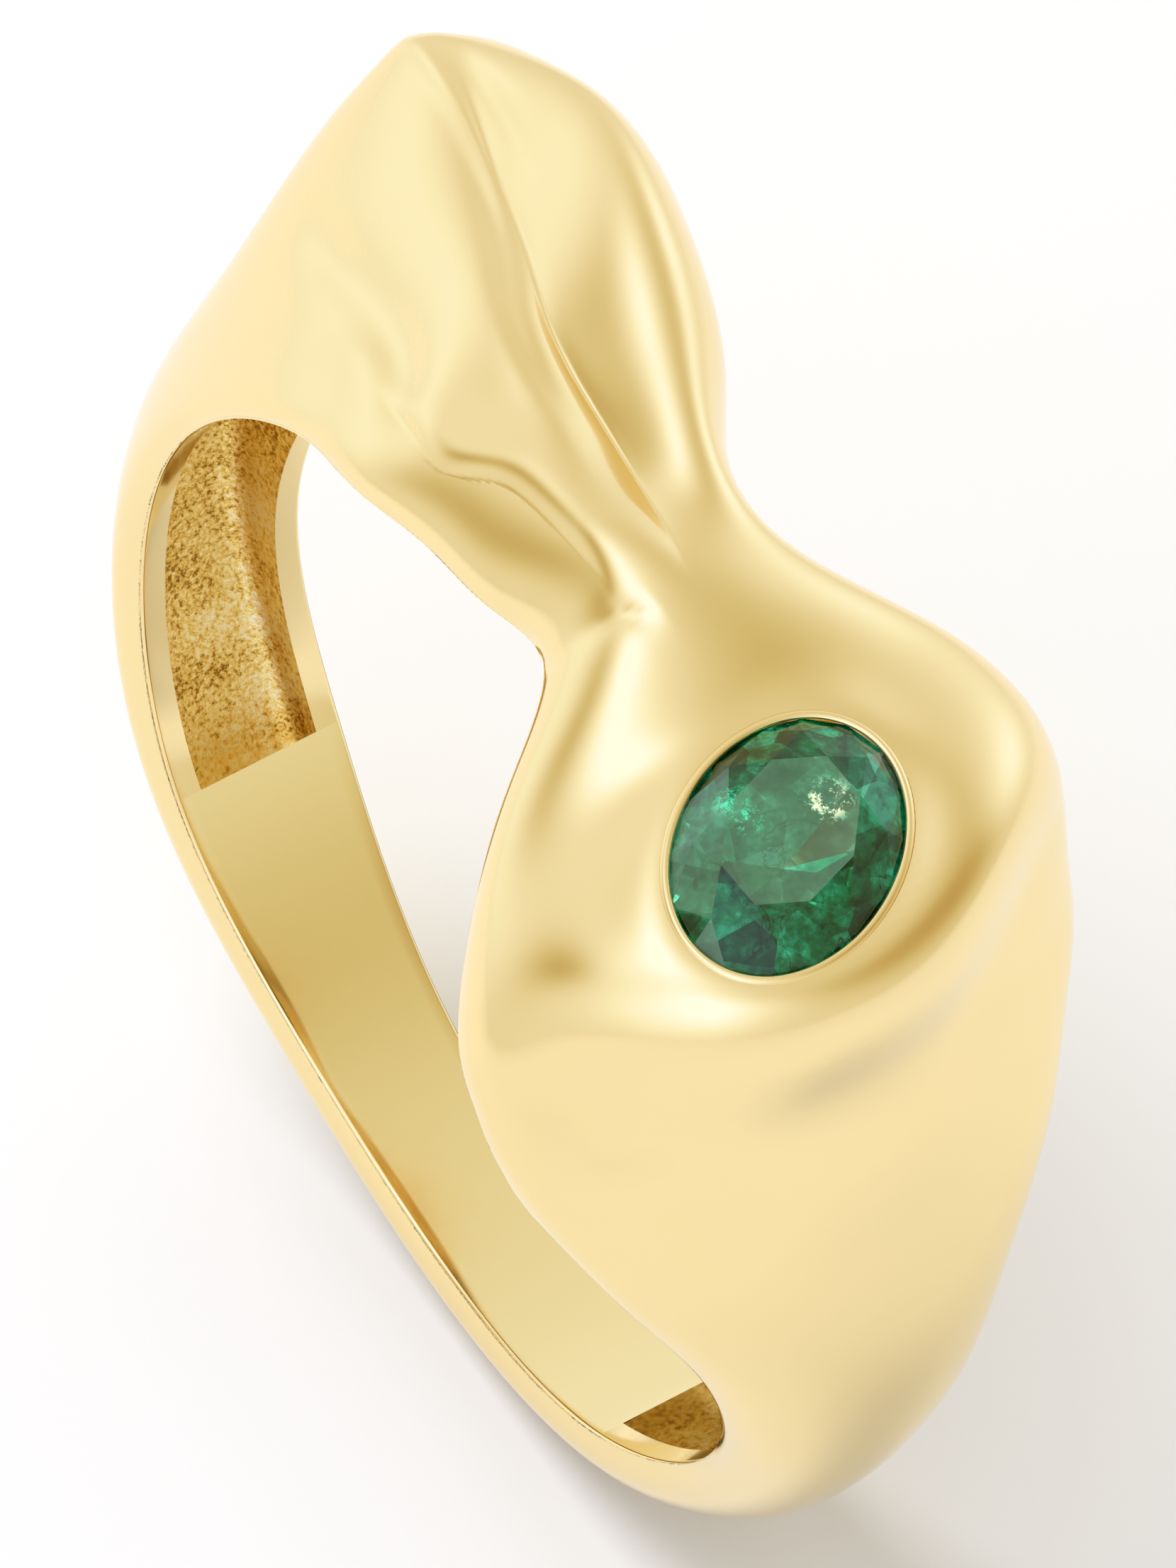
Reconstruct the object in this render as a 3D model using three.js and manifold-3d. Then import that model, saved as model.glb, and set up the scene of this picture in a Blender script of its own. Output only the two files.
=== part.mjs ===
// Freeform cocktail ring: a draped hollow head that swells into two lobes, a slim solid
// shank, an oval emerald and the thin collet it sits in. Millimetres. The origin is the
// centre of the finger hole, +Y runs along the finger, +Z goes up through the head and
// the stone's lobe lies toward +X.
import * as THREE from "three";
import { ConvexGeometry } from "three/addons/geometries/ConvexGeometry.js";
import { mergeVertices } from "three/addons/utils/BufferGeometryUtils.js";
import Module from "manifold-3d";

const FINGER_R = 8.5; // inside radius of the ring, a 17 mm ring size
const HEAD_FROM = -120; // the hollow head runs between these angles, clockwise from the top
const HEAD_TO = 151;
const JOINT_GAP = 0.02; // clearance kept where two pieces meet
const HEAD_STEP = 3; // degrees between the head's sections
const SHANK_STEP = 6;
const ACROSS = 42; // spans of the outer skin across one section
const INSIDE = 15; // spans of the cavity across one section
const SIDE_WALL = 0.45; // wall of the head beside the finger
const TOP_WALL = 0.55; // wall of the head under its crown

// Cross-sections round the ring: the angle from the top toward +X, then ten points from
// the near rim over the crown to the far rim. A point is its place along the finger and
// its distance from the finger's axis.
const SECTIONS = [
  [-120, [-1.45, 8.5], [-1.6, 8.8], [-1.6, 9.2], [-1.2, 9.65], [-0.5, 9.8],
    [0, 9.85], [0.5, 9.8], [1.2, 9.65], [1.6, 9.2], [1.45, 8.5]],
  [-95, [-1.35, 8.5], [-1.55, 8.85], [-1.5, 9.2], [-1, 9.7], [-0.35, 10],
    [0.2, 10.05], [0.7, 10], [1.2, 9.8], [1.6, 9.3], [1.45, 8.5]],
  [-75, [-1.22, 8.5], [-1.4, 8.85], [-1.2, 9.3], [-0.6, 9.9], [0.15, 10.35],
    [0.9, 10.55], [1.5, 10.45], [2.1, 10], [2.3, 9.2], [2, 8.5]],
  [-60, [-1.15, 8.5], [-1.3, 8.8], [-1, 9.2], [-0.3, 9.8], [0.6, 10.5],
    [1.6, 11.05], [2.5, 11.1], [3.3, 10.5], [3.6, 9.5], [3.2, 8.5]],
  [-48, [-1.12, 8.5], [-1.2, 8.75], [-0.7, 9.2], [0.6, 10.2], [2, 11.35],
    [3.5, 12.45], [4.4, 12.2], [5, 11.3], [4.85, 9.9], [4.3, 8.5]],
  [-38, [-1.1, 8.5], [-1.15, 8.75], [-0.6, 9.15], [0.8, 10.1], [2.5, 11.4],
    [3.4, 11.7], [4.25, 12.15], [5.1, 11.85], [5.15, 10], [4.7, 8.5]],
  [-28, [-1.15, 8.5], [-1.15, 8.75], [-0.65, 9.1], [0.65, 9.85], [2.1, 10.9],
    [2.9, 10.75], [3.8, 11.5], [4.95, 11.95], [5.4, 10.1], [4.9, 8.5]],
  [-16, [-1.35, 8.5], [-1.35, 8.85], [-0.85, 9.25], [0.25, 9.75], [1.45, 10.6],
    [2.15, 10.2], [3.1, 10.95], [4.3, 11.5], [4.95, 9.9], [4.6, 8.5]],
  [-5, [-1.2, 8.5], [-1.15, 8.95], [-0.6, 9.45], [0.3, 9.85], [1.05, 10.2],
    [1.7, 9.8], [2.5, 10.4], [3.5, 10.7], [4.15, 9.5], [4, 8.5]],
  [5, [-1.05, 8.5], [-1.05, 8.95], [-0.6, 9.5], [0.15, 10], [0.9, 10.15],
    [1.5, 9.85], [2.1, 10.2], [2.75, 10.25], [3.12, 9.35], [3.1, 8.5]],
  [13, [-0.9, 8.5], [-1, 9], [-0.7, 9.7], [0, 10.35], [0.75, 10.5],
    [1.4, 10.35], [2.05, 10.25], [2.7, 10], [3, 9.2], [2.95, 8.5]],
  [22, [-2.3, 8.5], [-2.35, 9], [-1.9, 9.65], [-0.9, 10.35], [0.2, 10.6],
    [1.2, 10.6], [2.2, 10.4], [3.3, 10], [3.8, 9.3], [3.7, 8.5]],
  [30, [-3.55, 8.5], [-3.6, 9], [-3.15, 9.6], [-1.7, 10.4], [-0.3, 10.7],
    [1, 10.75], [2.5, 10.55], [4, 10.1], [4.7, 9.4], [4.5, 8.5]],
  [38, [-4.5, 8.5], [-4.6, 9.05], [-4.2, 9.85], [-2.8, 11.1], [-1.1, 11.45],
    [0.9, 11.45], [2.7, 11.25], [4.3, 10.6], [5.1, 9.6], [5, 8.5]],
  [45, [-5, 8.5], [-5.1, 9.1], [-4.7, 10.1], [-3.2, 11.8], [-1.3, 12.5],
    [0.9, 12.5], [2.8, 12], [4.3, 11], [5.1, 9.8], [5.05, 8.5]],
  [50, [-5.06, 8.5], [-5.15, 9.1], [-4.7, 10.1], [-3.2, 11.8], [-1.3, 12.65],
    [0.9, 12.65], [2.7, 12.15], [4.1, 11], [4.95, 9.8], [4.95, 8.5]],
  [54.5, [-5.05, 8.5], [-5.12, 9.1], [-4.6, 10], [-3.1, 11.31], [-1.2, 12.01],
    [0.9, 12.01], [2.6, 11.56], [4, 10.75], [4.8, 9.75], [4.75, 8.5]],
  [56.5, [-5, 8.5], [-5.08, 9.08], [-4.55, 9.92], [-3, 11.08], [-1.2, 11.58],
    [0.85, 11.61], [2.55, 11.28], [3.9, 10.6], [4.75, 9.68], [4.65, 8.5]],
  [58.5, [-4.95, 8.5], [-5, 9.05], [-4.5, 9.83], [-2.95, 10.84], [-1.15, 11.26],
    [0.8, 11.32], [2.5, 11.06], [3.85, 10.5], [4.65, 9.62], [4.5, 8.5]],
  [65, [-4.6, 8.5], [-4.65, 9], [-4.05, 9.7], [-2.5, 10.42], [-1, 10.72],
    [0.7, 10.8], [2.2, 10.58], [3.5, 10.1], [4.2, 9.4], [4, 8.5]],
  [75, [-3.85, 8.5], [-3.95, 8.95], [-3.4, 9.5], [-2.1, 10.02], [-0.9, 10.22],
    [0.5, 10.28], [1.8, 10.15], [2.9, 9.85], [3.6, 9.3], [3.4, 8.5]],
  [90, [-2.6, 8.5], [-2.75, 8.85], [-2.3, 9.4], [-1.4, 9.85], [-0.6, 10],
    [0.3, 10.05], [1.2, 10], [2, 9.8], [2.6, 9.3], [2.4, 8.5]],
  [105, [-1.88, 8.5], [-2, 8.85], [-1.7, 9.4], [-1.1, 9.8], [-0.45, 9.95],
    [0.2, 9.97], [0.8, 9.95], [1.5, 9.75], [2.1, 9.3], [1.9, 8.5]],
  [120, [-1.5, 8.5], [-1.65, 8.8], [-1.45, 9.3], [-0.95, 9.75], [-0.4, 9.9],
    [0.1, 9.92], [0.6, 9.88], [1.2, 9.6], [1.65, 9.15], [1.55, 8.5]],
  [151, [-1.35, 8.5], [-1.5, 8.8], [-1.4, 9.25], [-0.95, 9.65], [-0.4, 9.8],
    [0, 9.8], [0.4, 9.8], [1, 9.65], [1.5, 9.2], [1.35, 8.5]],
  [180, [-1.15, 8.5], [-1.3, 8.8], [-1.25, 9.2], [-0.85, 9.6], [-0.35, 9.75],
    [0, 9.75], [0.35, 9.75], [0.85, 9.6], [1.25, 9.2], [1.15, 8.5]],
  [212, [-1.15, 8.5], [-1.3, 8.8], [-1.25, 9.2], [-0.85, 9.6], [-0.35, 9.75],
    [0, 9.75], [0.35, 9.75], [0.85, 9.6], [1.25, 9.2], [1.2, 8.5]],
];

// The foot of the stone's pillow climbs toward both rims.
const FOOT_ANGLE = 52;
const FOOT_SPREAD = 17;
const FOOT_RISE = 14; // degrees at the rims
const FOOT_NEAR = [0.5, 3.5]; // share of the half section where the climb sets in, and its power
const FOOT_FAR = [0.55, 2];

// Folds on the skin. Each is a height and a width across it in millimetres, and keys of
// [angle, place along the finger]. A crease is sharp at its bottom, a round fold is a
// soft swell or hollow, and a step falls off on one side only.
const FOLDS = [
  ["crease", -0.13, 0.16, [
    [-42, 3.95], [-37, 3.62], [-30, 3.07], [-22, 2.57], [-14, 2.02], [-8, 1.78],
    [-1, 1.64], [5, 1.48], [12, 1.22], [17, 1]]],
  ["round", -0.06, 0.2, [
    [-40, 3.35], [-34, 3.05], [-28, 2.62], [-22, 2.12], [-16, 1.58], [-10, 1.28],
    [-2, 1.1]]],
  ["round", 0.09, 0.15, [
    [-50, 3.85], [-45, 3.72], [-38, 3.42], [-33, 3.14], [-28, 2.85], [-22, 2.4]]],
  ["round", 0.16, 0.4, [
    [-54, 3.5], [-49, 3.8], [-45, 3.95], [-40, 4]]],
  ["round", -0.08, 0.2, [
    [-45, 4.15], [-41, 4], [-36, 3.83], [-30, 3.55], [-24, 3.25]]],
  ["step", 0.15, 0.3, [
    [-24, -0.25], [-18, -0.4], [-13, -0.52], [-8, -0.6], [-5, -0.38], [-2, -0.12],
    [0, -0.05], [6, 0], [11, -0.02], [15, -0.1]]],
  ["round", -0.14, 0.4, [
    [-52, 1.25], [-44, 1.05], [-36, 0.83], [-24, 0.37], [-16, -0.2], [-11, -0.45]]],
  ["round", 0.07, 0.35, [
    [-36, -0.1], [-30, -0.05], [-24, -0.2], [-18, -0.5]]],
];
const FOLD_FADE = 4; // degrees added to a fold's first and last span, where it fades out
const CREASE_TIP = 0.03; // radius at the bottom of a crease
const RIM_PLAIN = 0.1; // height over the finger hole that folds leave alone
const RIM_BLEND = 0.5;

// The notch where the stone's lobe starts at the near side: keys of [place along the
// finger, angle].
const NOTCH = [[-1.3, 14.2], [-0.9, 14.6], [-0.4, 15.2], [0, 16.2], [0.4, 17.5]];
const NOTCH_DEPTH = 0.09;
const NOTCH_WIDTH = 0.22;
const NOTCH_TIP = 0.14;
const NOTCH_FADE = 0.5;

// The stone and its collet.
const STONE_AT = [7.17, -0.07, 8.89];
const STONE_TILT = 10; // degrees the stone leans toward +X
const STONE_TURN = 125; // degrees of its long axis from +X, in its own plane
const STONE_A = 2.32; // half length
const STONE_B = 1.66; // half width
const GIRDLE = 0.1;
const CROWN = 0.55;
const TABLE = 0.6; // table width over the stone's width
const CROWN_MID = 0.82; // where the crown facets meet
const PAVILION = 1.3;
const PAVILION_MID = 0.5;
const COLLET_WALL = 0.26;
const COLLET_DEEP = 1.15;
const COLLET_LIP = 0.2;
const SEAT_CUT = 4; // height of the plug that opens the head under the stone

const GOLD = 0xe8c979;
const EMERALD = 0x0b6b3a;
const TURN = Math.PI / 180;
const MM_PER_DEGREE = 0.19; // length of one degree on the crown, for slopes of the folds

// Second derivatives of the natural cubics through rows of numbers at rising xs.
function naturalBends(xs, rows) {
  const n = xs.length;
  const width = rows[0].length;
  const bend = rows.map(() => new Array(width).fill(0));
  const diagonal = new Array(n).fill(1);
  const slope = (i, c) => (rows[i + 1][c] - rows[i][c]) / (xs[i + 1] - xs[i]);
  for (let i = 1; i < n - 1; i++) {
    const before = xs[i] - xs[i - 1];
    const carry = i > 1 ? before / diagonal[i - 1] : 0;
    diagonal[i] = 2 * (xs[i + 1] - xs[i - 1]) - carry * before;
    for (let c = 0; c < width; c++) {
      bend[i][c] = 6 * (slope(i, c) - slope(i - 1, c)) - carry * bend[i - 1][c];
    }
  }
  for (let i = n - 2; i > 0; i--) {
    const after = xs[i + 1] - xs[i];
    for (let c = 0; c < width; c++) {
      bend[i][c] = (bend[i][c] - after * bend[i + 1][c]) / diagonal[i];
    }
  }
  return bend;
}

// A smooth periodic curve through keyed rows: a natural cubic over three turns.
function periodicSpline(keys) {
  const xs = [];
  const rows = [];
  for (const shift of [-360, 0, 360]) {
    for (const [x, row] of keys) {
      xs.push(x + shift);
      rows.push(row);
    }
  }
  const bend = naturalBends(xs, rows);
  return (q) => {
    let i = 0;
    while (i < xs.length - 2 && xs[i + 1] <= q) i++;
    const h = xs[i + 1] - xs[i];
    const t = q - xs[i];
    const s = h - t;
    return rows[i].map((_, c) => {
      const cubic = (bend[i][c] * s ** 3 + bend[i + 1][c] * t ** 3) / (6 * h);
      const left = (rows[i][c] / h - (bend[i][c] * h) / 6) * s;
      const right = (rows[i + 1][c] / h - (bend[i + 1][c] * h) / 6) * t;
      return cubic + left + right;
    });
  };
}

const sectionAt = periodicSpline(SECTIONS.map(([psi, ...points]) => [psi, points.flat()]));

// A uniform cubic B-spline over one section's points, met at both ends.
function acrossSection(flat, u) {
  const count = flat.length / 2;
  const at = (k, c) => {
    if (k < 0) return 2 * flat[c] - flat[2 + c];
    if (k >= count) return 2 * flat[2 * count - 2 + c] - flat[2 * count - 4 + c];
    return flat[2 * k + c];
  };
  const s = u * (count - 1);
  const i = Math.min(Math.floor(s), count - 2);
  const f = s - i;
  const weights = [
    (1 - f) ** 3 / 6,
    (3 * f ** 3 - 6 * f ** 2 + 4) / 6,
    (-3 * f ** 3 + 3 * f ** 2 + 3 * f + 1) / 6,
    f ** 3 / 6,
  ];
  return [0, 1].map((c) => weights.reduce((sum, w, k) => sum + w * at(i - 1 + k, c), 0));
}

// A natural cubic through [x, y] keys, held at its ends: value and slope.
function keyedCurve(keys) {
  const xs = keys.map(([x]) => x);
  const ys = keys.map(([, y]) => y);
  const bend = naturalBends(xs, ys.map((y) => [y])).map(([m]) => m);
  const last = xs.length - 1;
  return (at) => {
    const q = Math.min(Math.max(at, xs[0]), xs[last]);
    let i = 0;
    while (i < last - 1 && xs[i + 1] <= q) i++;
    const h = xs[i + 1] - xs[i];
    const t = q - xs[i];
    const s = h - t;
    const low = ys[i] / h - (bend[i] * h) / 6;
    const high = ys[i + 1] / h - (bend[i + 1] * h) / 6;
    const value = (bend[i] * s ** 3 + bend[i + 1] * t ** 3) / (6 * h) + low * s + high * t;
    const slope = (bend[i + 1] * t ** 2 - bend[i] * s ** 2) / (2 * h) - low + high;
    return [value, slope];
  };
}

function ease(value) {
  const t = Math.min(Math.max(value, 0), 1);
  return t * t * (3 - 2 * t);
}

function creaseShape(s, width, tip = CREASE_TIP) {
  return Math.exp((tip - Math.hypot(s, tip)) / width);
}

const FOLD_SHAPES = {
  crease: creaseShape,
  round: (s, width) => Math.exp(-((s / width) ** 2)),
  step: (s, width) => (s > 0 ? (s / width) * Math.exp(1 - s / width) : 0),
};

const foldLines = FOLDS.map(([kind, height, width, keys]) => ({
  shape: FOLD_SHAPES[kind],
  height,
  width,
  line: keyedCurve(keys),
  from: keys[0][0],
  rise: keys[1][0] - keys[0][0] + FOLD_FADE,
  to: keys.at(-1)[0],
  fall: keys.at(-1)[0] - keys.at(-2)[0] + FOLD_FADE,
}));
const notchLine = keyedCurve(NOTCH);

// How far the folds and the notch move the skin outward at one place.
function foldHeight(psi, y) {
  let sum = 0;
  for (const fold of foldLines) {
    const [at, slope] = fold.line(psi);
    const s = (y - at) / Math.hypot(1, slope / MM_PER_DEGREE);
    const fade = ease((psi - fold.from) / fold.rise) * ease((fold.to - psi) / fold.fall);
    sum += fold.height * fold.shape(s, fold.width) * fade;
  }
  const [notchAt] = notchLine(y);
  const across = (psi - notchAt) * MM_PER_DEGREE;
  const fade = ease((NOTCH.at(-1)[0] - y) / NOTCH_FADE);
  return sum - NOTCH_DEPTH * creaseShape(across, NOTCH_WIDTH, NOTCH_TIP) * fade;
}

// The outer skin without its folds at one angle: [along the finger, radius] from the near
// to the far rim.
function plainSkin(psi, spans) {
  const flat = sectionAt(psi);
  const window = Math.exp(-(((psi - FOOT_ANGLE) / FOOT_SPREAD) ** 2));
  const points = [];
  for (let k = 0; k <= spans; k++) {
    const u = k / spans;
    const [reach, power] = u < 0.5 ? FOOT_NEAR : FOOT_FAR;
    const climb = 1 - Math.exp(-((Math.abs(2 * u - 1) / reach) ** power));
    const [y] = acrossSection(flat, u);
    const [, r] = acrossSection(sectionAt(psi + FOOT_RISE * window * climb), u);
    points.push([y, r]);
  }
  return points;
}

function skin(psi, spans) {
  return plainSkin(psi, spans).map(([y, r]) => {
    const share = Math.min(Math.max((r - FINGER_R - RIM_PLAIN) / RIM_BLEND, 0), 1);
    return [y, r + foldHeight(psi, y) * share];
  });
}

// The head's section: the skin, then back along the cavity.
function hollowSection(psi) {
  const outer = skin(psi, ACROSS);
  const near = outer[0][0];
  const far = outer[ACROSS][0];
  const middle = (near + far) / 2;
  const height = Math.max(...outer.map(([, r]) => r)) - FINGER_R;
  const narrow = 1 - (2 * SIDE_WALL) / (far - near);
  const low = 1 - TOP_WALL / height;
  const inner = plainSkin(psi, INSIDE).reverse();
  return [
    ...outer,
    ...inner.map(([y, r]) => [middle + (y - middle) * narrow, FINGER_R + (r - FINGER_R) * low]),
  ];
}

// Joins sections at rising angles into one closed body with flat ends.
function loft(sections) {
  const positions = [];
  const faces = [];
  const size = sections[0].points.length;
  for (const { psi, points } of sections) {
    for (const [y, r] of points) {
      positions.push(r * Math.sin(psi * TURN), y, r * Math.cos(psi * TURN));
    }
  }
  for (let i = 0; i + 1 < sections.length; i++) {
    for (let j = 0; j < size; j++) {
      const a = i * size + j;
      const b = i * size + ((j + 1) % size);
      faces.push(a, a + size, b + size, a, b + size, b);
    }
  }
  const last = (sections.length - 1) * size;
  for (const [start, flip] of [[0, false], [last, true]]) {
    const points = sections[start / size].points;
    const contour = points.map(([y, r]) => new THREE.Vector2(y, r));
    for (const [a, b, c] of THREE.ShapeUtils.triangulateShape(contour, [])) {
      const turned = THREE.ShapeUtils.isClockWise([contour[a], contour[b], contour[c]]) === flip;
      faces.push(start + a, start + (turned ? c : b), start + (turned ? b : c));
    }
  }
  const geometry = new THREE.BufferGeometry();
  geometry.setAttribute("position", new THREE.Float32BufferAttribute(positions, 3));
  geometry.setIndex(faces);
  return geometry;
}

function angles(from, to, step) {
  const count = Math.round((to - from) / step);
  return Array.from({ length: count + 1 }, (_, i) => from + ((to - from) * i) / count);
}

// Sweeps a closed profile of [outward offset, height] round the stone's oval.
function ovalSweep(profile, count) {
  const positions = [];
  const faces = [];
  const size = profile.length;
  for (let i = 0; i < count; i++) {
    const a = (i / count) * 2 * Math.PI;
    for (const [offset, z] of profile) {
      positions.push((STONE_A + offset) * Math.cos(a), (STONE_B + offset) * Math.sin(a), z);
    }
    const next = ((i + 1) % count) * size;
    for (let j = 0; j < size; j++) {
      const k = (j + 1) % size;
      faces.push(i * size + j, next + j, next + k, i * size + j, next + k, i * size + k);
    }
  }
  const geometry = new THREE.BufferGeometry();
  geometry.setAttribute("position", new THREE.Float32BufferAttribute(positions, 3));
  geometry.setIndex(faces);
  return geometry;
}

function placeAtStone(geometry) {
  geometry.rotateZ(STONE_TURN * TURN);
  geometry.rotateY(STONE_TILT * TURN);
  geometry.translate(...STONE_AT);
  return geometry;
}

// An oval mixed cut: table, star, kite and girdle facets above, mains below.
function emeraldGeometry() {
  const points = [];
  const put = (radius, angle, z) => {
    const a = angle * TURN;
    points.push(new THREE.Vector3(STONE_A * radius * Math.cos(a), STONE_B * radius * Math.sin(a), z));
  };
  const half = Math.cos(22.5 * TURN);
  for (let i = 0; i < 8; i++) {
    put(TABLE, 45 * i, GIRDLE / 2 + CROWN);
    const kite = (1 - CROWN_MID * half) / (1 - TABLE);
    put(CROWN_MID, 45 * i + 22.5, GIRDLE / 2 + CROWN * kite);
    put(PAVILION_MID, 45 * i + 22.5, -GIRDLE / 2 - PAVILION * (1 - PAVILION_MID * half));
  }
  for (let i = 0; i < 16; i++) {
    put(1, 22.5 * i, GIRDLE / 2);
    put(1, 22.5 * i, -GIRDLE / 2);
  }
  put(0, 0, -GIRDLE / 2 - PAVILION);
  return new ConvexGeometry(points);
}

function colletGeometry() {
  return ovalSweep([
    [COLLET_WALL, -COLLET_DEEP],
    [COLLET_WALL, COLLET_LIP * 0.6],
    [0.14, COLLET_LIP],
    [-0.03, COLLET_LIP],
    [-0.06, COLLET_LIP - 0.06],
    [0.03, GIRDLE / 2 + 0.03],
    [0.03, -GIRDLE / 2 - 0.03],
    [-0.25, -0.3],
    [-0.25, -COLLET_DEEP],
  ], 48);
}

function mesh(name, geometry, color, metalness, roughness) {
  const flat = geometry.index ? geometry.toNonIndexed() : geometry;
  flat.deleteAttribute("uv");
  flat.computeVertexNormals();
  const made = new THREE.Mesh(flat, new THREE.MeshStandardMaterial({ color, metalness, roughness }));
  made.name = name;
  return made;
}

const wasm = await Module();
wasm.setup();

function toManifold(geometry) {
  const bare = geometry.clone();
  bare.deleteAttribute("normal");
  bare.deleteAttribute("uv");
  const merged = mergeVertices(bare, 1e-5);
  return new wasm.Manifold(new wasm.Mesh({
    numProp: 3,
    vertProperties: merged.attributes.position.array,
    triVerts: new Uint32Array(merged.index.array),
  }));
}

function fromManifold(solid) {
  const made = solid.getMesh();
  const geometry = new THREE.BufferGeometry();
  geometry.setAttribute("position", new THREE.BufferAttribute(made.vertProperties, 3));
  geometry.setIndex(new THREE.BufferAttribute(made.triVerts, 1));
  return geometry;
}

const headGeometry = loft(
  angles(HEAD_FROM, HEAD_TO, HEAD_STEP).map((psi) => ({ psi, points: hollowSection(psi) })),
);
const seatPlug = new THREE.CylinderGeometry(1, 1, SEAT_CUT, 64).rotateX(Math.PI / 2);
seatPlug.scale(STONE_A + COLLET_WALL + JOINT_GAP, STONE_B + COLLET_WALL + JOINT_GAP, 1);
const headSolid = toManifold(headGeometry).subtract(toManifold(placeAtStone(seatPlug)));

const shankSkirt = JOINT_GAP / FINGER_R / TURN;
const shankGeometry = loft(
  angles(HEAD_TO + shankSkirt, HEAD_FROM + 360 - shankSkirt, SHANK_STEP).map((psi) => ({
    psi,
    points: skin(psi, ACROSS),
  })),
);

const ring = new THREE.Group();
ring.name = "cocktail_ring";
ring.add(mesh("head_shell", fromManifold(headSolid), GOLD, 1, 0.15));
ring.add(mesh("shank", shankGeometry, GOLD, 1, 0.15));
ring.add(mesh("stone_collet", placeAtStone(colletGeometry()), GOLD, 1, 0.2));
ring.add(mesh("emerald", placeAtStone(emeraldGeometry()), EMERALD, 0, 0.05));

export default ring;
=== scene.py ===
import math

import bmesh
import bpy
import numpy as np
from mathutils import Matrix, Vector
from mathutils.kdtree import KDTree


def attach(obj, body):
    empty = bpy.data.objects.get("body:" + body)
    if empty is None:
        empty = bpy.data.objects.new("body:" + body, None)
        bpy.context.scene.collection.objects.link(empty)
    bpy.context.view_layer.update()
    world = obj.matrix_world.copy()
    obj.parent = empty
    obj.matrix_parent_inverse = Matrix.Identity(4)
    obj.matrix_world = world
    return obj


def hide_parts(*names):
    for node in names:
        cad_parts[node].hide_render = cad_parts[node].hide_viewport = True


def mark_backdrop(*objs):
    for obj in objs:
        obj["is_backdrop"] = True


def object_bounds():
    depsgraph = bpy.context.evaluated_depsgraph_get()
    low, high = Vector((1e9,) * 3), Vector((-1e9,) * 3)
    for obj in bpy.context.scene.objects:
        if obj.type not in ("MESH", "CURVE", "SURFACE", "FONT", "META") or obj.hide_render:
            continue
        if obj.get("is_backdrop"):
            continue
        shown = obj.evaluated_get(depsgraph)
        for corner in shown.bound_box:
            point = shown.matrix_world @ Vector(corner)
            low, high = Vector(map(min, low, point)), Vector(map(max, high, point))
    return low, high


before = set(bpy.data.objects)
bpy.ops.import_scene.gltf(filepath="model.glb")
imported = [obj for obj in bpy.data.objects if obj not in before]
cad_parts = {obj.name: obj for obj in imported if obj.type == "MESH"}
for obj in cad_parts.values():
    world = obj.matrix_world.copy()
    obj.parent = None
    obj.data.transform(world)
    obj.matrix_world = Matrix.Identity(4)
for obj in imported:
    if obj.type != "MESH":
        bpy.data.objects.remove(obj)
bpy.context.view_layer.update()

MM = 0.001                     # metres
DEGREE = math.pi / 180         # radians

# ---------------------------------------------------------------- the ring's measures, mm
FINGER_R = 8.5
HEAD_FROM, HEAD_TO = -120.0, 151.0   # the hollow head's ends, degrees from the top toward +X
SIDE_WALL, TOP_WALL = 0.42, 0.5
EDGE, EDGE_POINTS = 0.06, 4          # rounding of the rims

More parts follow.
